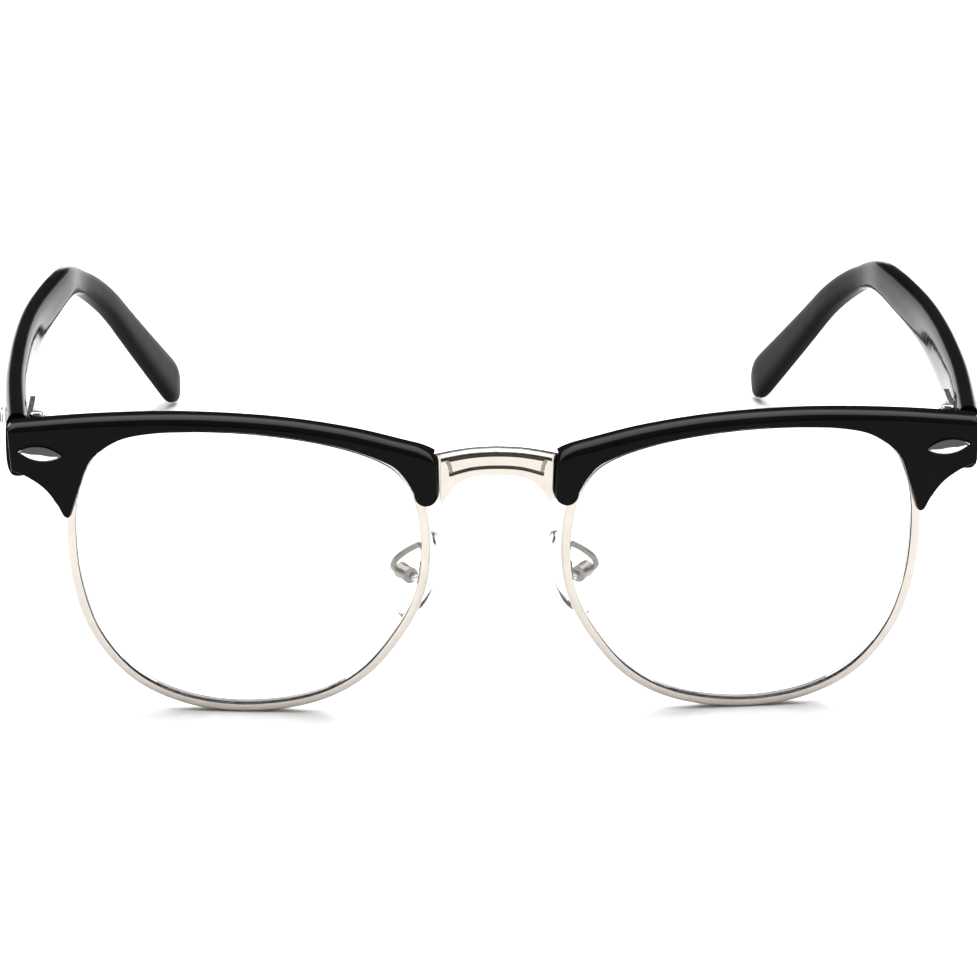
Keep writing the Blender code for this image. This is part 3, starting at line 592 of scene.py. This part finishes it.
def build_bridge():
    """The flat backed arch: two long grooves, and a notch at each end of the rib between them."""
    half = bridge_outline()
    mirrored = [Vector((-point.x, point.y)) for point in reversed(half[1:-1])]
    bar = rounded_prism(half + mirrored, BRIDGE_FRONT, BRIDGE_BACK, BRIDGE_ROUNDING, straight)
    cuts = []
    bottom, top = BRIDGE_TAB_LEVELS
    for side in (-1.0, 1.0):
        low, high = sorted((side * BRIDGE_HALF_WIDTH, side * BRIDGE_TAB_REACH))
        cuts.append(box((low, 0.0, bottom), (high, BRIDGE_TAB_FRONT, top)))
    for line in BRIDGE_GROOVES + BRIDGE_NOTCHES:
        path = [Vector((point.x, BRIDGE_GROOVE_CENTRE, point.y)) for point in spline(line, 10)]
        cuts.append(swept(path, GROOVE_HALF_WIDTH, 4))
    return combined(bar, cuts=cuts)


def almond(half_length, half_height, steps=24):
    """A pointed oval: two arcs that meet at its ends."""
    radius = (half_length ** 2 + half_height ** 2) / (2.0 * half_height)
    half_angle = math.degrees(math.asin(half_length / radius))
    upper = arc((0.0, half_height - radius), radius, 90.0 - half_angle, 90.0 + half_angle, steps)
    lower = arc((0.0, radius - half_height), radius, 270.0 - half_angle, 270.0 + half_angle, steps)
    return upper[:-1] + lower[:-1]


def ridged_almond(place):
    """The plaque: a flat back, a short straight edge and a ridge along its length."""
    outline = almond(PLAQUE_HALF_LENGTH, PLAQUE_HALF_HEIGHT)
    rings = []
    for size, height in PLAQUE_LEVELS:
        along = PLAQUE_RIDGE + (1.0 - PLAQUE_RIDGE) * size
        rings.append([place(point.x * along, height, point.y * size) for point in outline])
    return loft(rings)


def on_brow(x, height, z):
    turned_x = x * math.cos(PLAQUE_TILT) - z * math.sin(PLAQUE_TILT)
    turned_z = x * math.sin(PLAQUE_TILT) + z * math.cos(PLAQUE_TILT)
    return from_front(PLAQUE_CENTRE[0] + turned_x, -SEAT_GAP - height, PLAQUE_CENTRE[1] + turned_z)


# ---------------------------------------------------------------- temples

def temple_profile(distance):
    """Centre (y, z) and slope of the temple's side profile at a distance along it."""
    straight_length = (TEMPLE_BEND_Y - TEMPLE_FRONT_Y) / math.cos(TEMPLE_SLOPE)
    centre_z = TEMPLE_TOP_Z - 0.5 * TEMPLE_HEIGHT[0][1]
    y = TEMPLE_FRONT_Y + min(distance, straight_length) * math.cos(TEMPLE_SLOPE)
    z = centre_z - min(distance, straight_length) * math.sin(TEMPLE_SLOPE)
    turn = TEMPLE_DROP_SLOPE - TEMPLE_SLOPE
    round_length = min(max(distance - straight_length, 0.0), turn * TEMPLE_BEND_RADIUS)
    slope = TEMPLE_SLOPE + round_length / TEMPLE_BEND_RADIUS
    y += TEMPLE_BEND_RADIUS * (math.sin(slope) - math.sin(TEMPLE_SLOPE))
    z -= TEMPLE_BEND_RADIUS * (math.cos(TEMPLE_SLOPE) - math.cos(slope))
    rest = max(distance - straight_length - turn * TEMPLE_BEND_RADIUS, 0.0)
    return y + rest * math.cos(slope), z - rest * math.sin(slope), slope


def temple_length():
    turn = TEMPLE_DROP_SLOPE - TEMPLE_SLOPE
    straight_length = (TEMPLE_BEND_Y - TEMPLE_FRONT_Y) / math.cos(TEMPLE_SLOPE)
    return straight_length + turn * TEMPLE_BEND_RADIUS + TEMPLE_DROP_LENGTH


def temple_plan(y):
    """Centre x of the temple at a distance back, on a smooth curve."""
    curve = spline(TEMPLE_PLAN, 24)
    return value_at([(point.x, point.y) for point in curve], y)


def temple_ring(distance, half_thickness, half_height):
    """A rounded section as a superellipse, square to the temple's run."""
    y, z, slope = temple_profile(distance)
    ahead_y, ahead_z, _ = temple_profile(distance + 0.5)
    centre = Vector((temple_plan(y), y, z))
    along = (Vector((temple_plan(ahead_y), ahead_y, ahead_z)) - centre).normalized()
    thick = along.cross(Vector((0.0, math.sin(slope), math.cos(slope)))).normalized()
    tall = thick.cross(along).normalized()
    ring = []
    for index in range(TEMPLE_SIDES):
        angle = 2.0 * math.pi * (index + 0.5) / TEMPLE_SIDES
        c, s = math.cos(angle), math.sin(angle)
        reach = (abs(c) ** TEMPLE_SQUARENESS + abs(s) ** TEMPLE_SQUARENESS) ** (-1.0 / TEMPLE_SQUARENESS)
        ring.append(centre + thick * (half_thickness * reach * c) + tall * (half_height * reach * s))
    return ring


def build_temple():
    """The acetate temple with a rounded tip and a recess for its hinge leaf."""
    length = temple_length()
    body_end = length - TEMPLE_TIP
    rings = []
    for index in range(TEMPLE_RINGS + 1):
        distance = body_end * index / TEMPLE_RINGS
        half_thickness = 0.5 * value_at(TEMPLE_THICKNESS, distance)
        half_height = 0.5 * value_at(TEMPLE_HEIGHT, distance)
        rings.append(temple_ring(distance, half_thickness, half_height))
    half_thickness = 0.5 * value_at(TEMPLE_THICKNESS, length)
    half_height = 0.5 * value_at(TEMPLE_HEIGHT, length)
    for step in range(1, TEMPLE_TIP_STEPS + 1):
        turn = 0.5 * math.pi * step / (TEMPLE_TIP_STEPS + TEMPLE_TIP_FLAT)
        size = math.cos(turn) ** TEMPLE_TIP_POWER
        distance = body_end + (TEMPLE_TIP - TEMPLE_TIP_SHORT) * math.sin(turn)
        rings.append(temple_ring(distance, half_thickness * size, half_height * size))
    return combined(loft(rings), cuts=[box(*HINGE_RECESS)])


def temple_side_x(y):
    return temple_plan(y) + 0.5 * value_at(TEMPLE_THICKNESS, y)


def on_temple(along, height, z):
    centre_y, centre_z = TEMPLE_PLAQUE
    half = PLAQUE_HALF_LENGTH
    ends = temple_side_x(centre_y - half), temple_side_x(centre_y + half)
    face = ends[0] + (ends[1] - ends[0]) * (along + half) / (2.0 * half)
    return Vector((face + 2.0 * SEAT_GAP + height, centre_y + along, centre_z + z))


# ---------------------------------------------------------------- nose pads and screws

def from_pad(down_by, across_by, toward):
    """Place of a point in the pad's frame: down its length, across its width, towards the nose."""
    across = Vector((math.sin(PAD_SPLAY), math.cos(PAD_SPLAY), 0.0))
    down = Vector((
        math.cos(PAD_SPLAY) * math.sin(PAD_FLARE), -math.sin(PAD_SPLAY) * math.sin(PAD_FLARE),
        -math.cos(PAD_FLARE)))
    return Vector(PAD_PIVOT) + down * down_by + across * across_by + across.cross(down) * toward


def pad_box(half_down, half_across, toward_low, toward_high):
    outline = rectangle(-half_down, half_down, -half_across, half_across)
    return loft([[from_pad(a, b, level) for a, b in outline] for level in (toward_low, toward_high)])


def build_nose_pad():
    """A soft teardrop pad with its boss; the screw passes through the boss, which has no bore here."""
    half_length, half_width, half_thickness = PAD_HALF
    rings = []
    for level in range(1, PAD_LEVELS):
        tilt = math.pi * level / PAD_LEVELS
        spread = math.sin(tilt) ** PAD_FULLNESS
        ring = []
        for index in range(PAD_AROUND):
            angle = 2.0 * math.pi * index / PAD_AROUND
            along = spread * math.cos(angle)
            width = half_width * (1.0 + PAD_TAPER * along)
            ring.append(from_pad(
                half_length * along, width * spread * math.sin(angle),
                PAD_STANDOFF - half_thickness * math.cos(tilt)))
        rings.append(ring)
    half_down, half_across, back = PAD_BOSS
    return combined(loft(rings), joins=[pad_box(half_down, half_across, -back, PAD_STANDOFF)])


def build_pad_cup():
    """A round cheeked metal cup, slotted for the pad's boss."""
    back = CUP_RADIUS - CUP_BACK
    start, end = from_pad(0.0, -CUP_HALF_ACROSS, back), from_pad(0.0, CUP_HALF_ACROSS, back)
    body = rod(start, end, CUP_RADIUS, 40)
    outline = rectangle(-3.0, 3.0, -CUP_SLOT_HALF, CUP_SLOT_HALF)
    slot = loft([[from_pad(a, b, level) for a, b in outline] for level in (CUP_WALL - CUP_BACK, 3.0)])
    return combined(body, cuts=[slot])


def slotted_screw(tip, seat, radius, head):
    """A pan head screw with a straight slot across its head."""
    tip, seat = Vector(tip), Vector(seat)
    length = (seat - tip).length
    head_radius, head_height = head
    along = (seat - tip).normalized()
    top = length + head_height
    profile = [(0.0, 0.7 * radius), (0.25, radius), (length, radius), (length, head_radius)]
    for step in range(1, SCREW_DOME_STEPS):
        turn = 0.5 * math.pi * step / SCREW_DOME_STEPS
        across = head_radius * math.cos(turn) ** SCREW_DOME_POWER
        profile.append((length + head_height * math.sin(turn), across))
    side, up = frame_along(along)
    half_long, half_wide = 1.5 * head_radius, SCREW_SLOT_HALF * head_radius
    outline = rectangle(-half_long, half_long, -half_wide, half_wide)
    slot = []
    for level in (top - 0.5 * head_height, top + 1.0):
        slot.append([tip + along * level + side * a + up * b for a, b in outline])
    return combined(turned(tip, tip + along * top, profile, SCREW_SIDES), cuts=[loft(slot)])


def build_hinge_screw():
    x, y = HINGE
    tip, seat = (x, y, BARREL_LEVELS[0] + SCREW_TIP_IN), (x, y, BARREL_LEVELS[1] + SEAT_GAP)
    return slotted_screw(tip, seat, *HINGE_SCREW)


def build_brow_screw():
    u, v = BROW_SCREW_PLACE
    tip, seat = from_front(u, BROW_SCREW_TIP, v), from_front(u, BRIDGE_BACK + SEAT_GAP, v)
    return slotted_screw(tip, seat, *BROW_SCREW)


def build_rim_screw():
    tip = from_front(BLOCK_SCREW_U, RIM_MIDDLE, RIM_SPLIT_V + BLOCK_HALF_HEIGHT - SCREW_TIP_IN)
    seat = from_front(BLOCK_SCREW_U, RIM_MIDDLE, RIM_SPLIT_V - BLOCK_HALF_HEIGHT - SEAT_GAP)
    return slotted_screw(tip, seat, *RIM_SCREW)


def build_pad_screw():
    tip = from_pad(0.0, CUP_HALF_ACROSS + SCREW_TIP_IN, 0.0)
    seat = from_pad(0.0, -CUP_HALF_ACROSS - SEAT_GAP, 0.0)
    return slotted_screw(tip, seat, *PAD_SCREW)


def build_pad_arm():
    return swept(spline(ARM_PATH, 8), ARM_RADIUS, 20)


# ---------------------------------------------------------------- materials

def new_material(name, colour, values):
    """A Principled material; colour and values sit on the shader's own sockets."""
    material = bpy.data.materials.new(name)
    material.use_nodes = True
    shader = material.node_tree.nodes["Principled BSDF"]
    shader.inputs["Base Color"].default_value = (*colour, 1.0)
    for socket, value in values.items():
        shader.inputs[socket].default_value = value
    return material


def add_noise(material, size, stretch=(1.0, 1.0, 1.0), detail=3.0):
    """Noise with features of about `size` millimetres; returns its value socket."""
    nodes, links = material.node_tree.nodes, material.node_tree.links
    place = nodes.new("ShaderNodeTexCoord")
    mapping = nodes.new("ShaderNodeMapping")
    mapping.inputs["Scale"].default_value = stretch
    noise = nodes.new("ShaderNodeTexNoise")
    noise.inputs["Scale"].default_value = 1.0 / (size * MM)
    noise.inputs["Detail"].default_value = detail
    links.new(place.outputs["Object"], mapping.inputs["Vector"])
    links.new(mapping.outputs["Vector"], noise.inputs["Vector"])
    return noise.outputs["Fac"]


def add_range(material, value, low_in, high_in, low, high):
    nodes, links = material.node_tree.nodes, material.node_tree.links
    spread = nodes.new("ShaderNodeMapRange")
    numbers = {"From Min": low_in, "From Max": high_in, "To Min": low, "To Max": high}
    for socket, number in numbers.items():
        spread.inputs[socket].default_value = number
    links.new(value, spread.inputs["Value"])
    return spread.outputs["Result"]


def vary_colour(material, value, first, second):
    nodes, links = material.node_tree.nodes, material.node_tree.links
    ramp = nodes.new("ShaderNodeValToRGB")
    ramp.color_ramp.elements[0].color = (*first, 1.0)
    ramp.color_ramp.elements[1].color = (*second, 1.0)
    links.new(value, ramp.inputs["Fac"])
    links.new(ramp.outputs["Color"], nodes["Principled BSDF"].inputs["Base Color"])


def vary_roughness(material, value):
    shader = material.node_tree.nodes["Principled BSDF"]
    material.node_tree.links.new(value, shader.inputs["Roughness"])


def add_bump(material, value, height):
    nodes, links = material.node_tree.nodes, material.node_tree.links
    bump = nodes.new("ShaderNodeBump")
    bump.inputs["Strength"].default_value = 1.0
    bump.inputs["Distance"].default_value = height * MM
    links.new(value, bump.inputs["Height"])
    links.new(bump.outputs["Normal"], nodes["Principled BSDF"].inputs["Normal"])


def polished_acetate():
    """Black acetate, buffed to a gloss, with the faint waviness that buffing leaves."""
    values = {"IOR": 1.48, "Specular IOR Level": 0.045}
    material = new_material("black_acetate", (0.005, 0.005, 0.006), values)
    cloud = add_noise(material, 6.0)
    vary_colour(material, cloud, (0.002, 0.002, 0.0022), (0.004, 0.004, 0.0043))
    vary_roughness(material, add_range(material, add_noise(material, 2.5), 0.3, 0.7, 0.04, 0.1))
    add_bump(material, add_noise(material, 4.0, detail=1.0), 0.012)
    return material


def temple_acetate():
    """The same acetate, wearing from gloss at the hinge to satin where it lies behind the ear."""
    values = {"IOR": 1.48, "Specular IOR Level": 0.03}
    material = new_material("black_acetate_temple", (0.005, 0.005, 0.006), values)
    nodes, links = material.node_tree.nodes, material.node_tree.links
    place = nodes.new("ShaderNodeTexCoord")
    split = nodes.new("ShaderNodeSeparateXYZ")
    links.new(place.outputs["Object"], split.inputs["Vector"])
    start, end = SATIN_FROM * MM, SATIN_TO * MM
    satin = add_range(material, split.outputs["Y"], start, end, 0.07, 0.34)
    blend = nodes.new("ShaderNodeMath")
    blend.operation = "ADD"
    links.new(satin, blend.inputs[0])
    links.new(add_range(material, add_noise(material, 1.6), 0.3, 0.7, -0.03, 0.04), blend.inputs[1])
    vary_roughness(material, blend.outputs["Value"])
    cloud = add_noise(material, 6.0)
    vary_colour(material, cloud, (0.002, 0.002, 0.0022), (0.005, 0.005, 0.0055))
    add_bump(material, add_noise(material, 3.0, detail=1.0), 0.01)
    return material


def plated_metal():
    """Warm silver plating with fine polishing lines and small changes of tone."""
    material = new_material("silver_metal", (0.47, 0.43, 0.39), {"Metallic": 1.0})
    vary_colour(material, add_noise(material, 1.8), (0.42, 0.385, 0.345), (0.52, 0.485, 0.445))
    grain = add_noise(material, 0.35, stretch=(1.0, 1.0, 5.0))
    vary_roughness(material, add_range(material, grain, 0.3, 0.7, 0.12, 0.24))
    add_bump(material, grain, 0.0012)
    return material


def painted_shade_metal():
    """The same plating on the small pad parts, darkened as painted shade: a shaded copy of the silver
    metal.
    """
    # Painted shade: the base colour is much darker than the silver metal's, so the pad parts read as
    # shaded
    material = new_material("silver_metal_painted_shade", (0.15, 0.135, 0.115), {"Metallic": 1.0})
    tone = add_noise(material, 0.7)
    vary_colour(material, tone, (0.1, 0.09, 0.075), (0.22, 0.2, 0.17))
    vary_roughness(material, add_range(material, tone, 0.3, 0.7, 0.14, 0.26))
    return material


def mirror_chrome():
    """Polished plating on the plaques, with hairline wear."""
    material = new_material("chrome", (0.93, 0.93, 0.92), {"Metallic": 1.0})
    vary_colour(material, add_noise(material, 1.0), (0.88, 0.88, 0.87), (0.96, 0.96, 0.95))
    wear = add_noise(material, 0.3, stretch=(0.3, 1.0, 4.0))
    vary_roughness(material, add_range(material, wear, 0.35, 0.7, 0.05, 0.13))
    return material


def screw_steel():
    """Turned steel with rings of fine tool marks."""
    material = new_material("screw_steel", (0.62, 0.61, 0.58), {"Metallic": 1.0})
    marks = add_noise(material, 0.2, detail=4.0)
    vary_colour(material, marks, (0.5, 0.49, 0.47), (0.72, 0.71, 0.68))
    vary_roughness(material, add_range(material, marks, 0.3, 0.7, 0.2, 0.4))
    return material


def lens_plastic():
    """Clear coated lens, with a trace of unevenness in its polish."""
    values = {"IOR": 1.5, "Specular IOR Level": 0.12, "Transmission Weight": 1.0, "Roughness": 0.0}
    material = new_material("lens", (0.985, 0.995, 1.0), values)
    vary_colour(material, add_noise(material, 30.0), (0.975, 0.99, 0.995), (1.0, 1.0, 1.0))
    return material


def clear_silicone():
    """Soft clear silicone with a slightly tacky, uneven skin."""
    values = {"IOR": 1.41, "Transmission Weight": 1.0, "Roughness": 0.08}
    material = new_material("clear_silicone", (0.96, 0.97, 0.97), values)
    skin = add_noise(material, 0.8)
    vary_colour(material, skin, (0.93, 0.95, 0.955), (1.0, 1.0, 1.0))
    vary_roughness(material, add_range(material, skin, 0.3, 0.7, 0.04, 0.14))
    return material


# ---------------------------------------------------------------- surroundings

def add_floor():
    """A large plain white floor that the rims stand on."""
    solid = bmesh.new()
    half = FLOOR_HALF_SIZE * MM
    outline = rectangle(-half, half, -half, half)
    solid.faces.new([solid.verts.new((x, y, 0.0)) for x, y in outline])
    mesh = bpy.data.meshes.new("floor")
    solid.to_mesh(mesh)
    solid.free()
    material = new_material("floor", FLOOR_COLOUR, {"Roughness": 1.0, "Specular IOR Level": 0.0})
    paper = add_noise(material, 300.0)
    vary_colour(material, paper, FLOOR_COLOUR, tuple(0.99 * level for level in FLOOR_COLOUR))
    mesh.materials.append(material)
    floor = bpy.data.objects.new("floor", mesh)
    bpy.context.scene.collection.objects.link(floor)


def add_ramp(nodes, stops):
    """A ramp over elevation, straight down at 0 and straight up at 1."""
    node = nodes.new("ShaderNodeValToRGB")
    ramp = node.color_ramp
    while len(ramp.elements) < len(stops):
        ramp.elements.new(0.5)
    for element, (elevation, level) in zip(ramp.elements, stops):
        element.position = (elevation + 90.0) / 180.0
        grey = level / SKY_STRENGTH
        element.color = (grey, grey, grey, 1.0)
    return node


def add_world():
    """A studio: pale walls low down, a bright band high behind and a dark ceiling."""
    world = bpy.data.worlds.new("studio")
    world.use_nodes = True
    bpy.context.scene.world = world
    nodes, links = world.node_tree.nodes, world.node_tree.links
    place = nodes.new("ShaderNodeTexCoord")
    split = nodes.new("ShaderNodeSeparateXYZ")
    height = nodes.new("ShaderNodeMath")
    height.operation = "ARCSINE"
    along = nodes.new("ShaderNodeMapRange")
    along.inputs["From Min"].default_value = -math.pi / 2.0
    along.inputs["From Max"].default_value = math.pi / 2.0
    side = nodes.new("ShaderNodeMapRange")
    side.inputs["From Min"].default_value = -SKY_BLEND
    side.inputs["From Max"].default_value = SKY_BLEND
    mix = nodes.new("ShaderNodeMix")
    mix.data_type = "RGBA"
    links.new(place.outputs["Generated"], split.inputs["Vector"])
    links.new(split.outputs["Z"], height.inputs[0])
    links.new(height.outputs["Value"], along.inputs["Value"])
    links.new(split.outputs["Y"], side.inputs["Value"])
    links.new(side.outputs["Result"], mix.inputs["Factor"])
    for stops, socket in ((SKY_BEFORE, "A"), (SKY_BEHIND, "B")):
        ramp = add_ramp(nodes, stops)
        links.new(along.outputs["Result"], ramp.inputs["Fac"])
        target = [entry for entry in mix.inputs if entry.name == socket and entry.type == "RGBA"][0]
        links.new(ramp.outputs["Color"], target)
    result = [entry for entry in mix.outputs if entry.type == "RGBA"][0]
    links.new(result, nodes["Background"].inputs["Color"])
    nodes["Background"].inputs["Strength"].default_value = SKY_STRENGTH


def add_lights():
    sun = bpy.data.lights.new("soft_sun", "SUN")
    sun.energy = SUN_STRENGTH
    sun.angle = SUN_ANGLE
    holder = bpy.data.objects.new("soft_sun", sun)
    holder.rotation_euler = SUN_TURN
    holder.visible_glossy = False
    bpy.context.scene.collection.objects.link(holder)


def add_camera():
    data = bpy.data.cameras.new("camera")
    data.lens = CAMERA_LENS
    camera = bpy.data.objects.new("camera", data)
    bpy.context.scene.collection.objects.link(camera)
    target = (Vector(CAMERA_TARGET) - Vector((0.0, CENTRE_Y, 0.0))) * MM
    back = Vector((
        math.sin(CAMERA_AZIMUTH) * math.cos(CAMERA_ELEVATION),
        -math.cos(CAMERA_AZIMUTH) * math.cos(CAMERA_ELEVATION), math.sin(CAMERA_ELEVATION)))
    camera.location = target + back * (CAMERA_DISTANCE * MM)
    camera.rotation_mode = "QUATERNION"
    roll = Quaternion((0.0, 0.0, 1.0), CAMERA_ROLL)
    camera.rotation_quaternion = (-back).to_track_quat("-Z", "Y") @ roll
    bpy.context.scene.camera = camera


# ---------------------------------------------------------------- assembly

def refine_node(node, material, edge):
    """A CAD node that stays: softened edges and its finish."""
    node.data.materials.clear()
    node.data.materials.append(material)
    rounding = node.modifiers.new("edge", "BEVEL")
    rounding.width = edge * MM
    rounding.segments = 3
    rounding.limit_method = "ANGLE"
    rounding.angle_limit = math.radians(40.0)


def main():
    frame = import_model()
    bpy.context.scene.view_settings.view_transform = "Standard"

    acetate, metal, steel = polished_acetate(), plated_metal(), screw_steel()
    worn, chrome, pad_metal_with_painted_shade = temple_acetate(), mirror_chrome(), painted_shade_metal()
    lens, silicone = lens_plastic(), clear_silicone()

    add_piece("bridge_arch", build_bridge(), "front", "bridge", metal)
    front = ("front", "front")
    temples = ("temple_assembly_left", "temple_assembly_right")
    pads = ("pad_left", "pad_right")
    pairs = (
        ("brow_shell", build_brow(), front, "brow", "black_acetate", acetate),
        ("rim_wire", build_rim(), front, "rim", "silver_metal", metal),
        ("rim_slot_screw", build_rim_screw(), front, "rim_lock_screw", "screw_steel", steel),
        ("lens_glass", build_lens(), front, "lens", "lens", lens),
        ("brow_almond", ridged_almond(on_brow), front, "brow_plaque", "chrome", chrome),
        ("brow_slot_screw", build_brow_screw(), front, "brow_screw", "screw_steel", steel),
        ("hinge_slot_screw", build_hinge_screw(), front, "hinge_screw", "screw_steel", steel),
        # The pad arms and cups take the darker copy of the metal, which is painted shade
        ("pad_arm_wire", build_pad_arm(), front, "pad_arm", "silver_metal", pad_metal_with_painted_shade),
        ("pad_slot_screw", build_pad_screw(), front, "pad_screw", "screw_steel", steel),
        ("pad_cup_round", build_pad_cup(), front, "pad_cup", "silver_metal", pad_metal_with_painted_shade),
        ("temple_arm", build_temple(), temples, "temple", "black_acetate", worn),
        ("temple_almond", ridged_almond(on_temple), temples, "temple_plaque", "chrome", chrome),
        ("pad_soft", build_nose_pad(), pads, "nose_pad", "clear_silicone", silicone),
    )
    for name, solid, bodies, node, slot, material in pairs:
        add_pair(name, solid, bodies, node, material)
    for side in ("_left", "_right"):
        refine_node(frame["nodes"]["end_piece" + side], metal, METAL_EDGE)
        refine_node(frame["nodes"]["temple_hinge" + side], metal, METAL_EDGE)
        refine_node(frame["nodes"]["temple_core" + side], steel, CORE_EDGE)

    add_floor()
    add_world()
    add_lights()
    add_camera()


main()
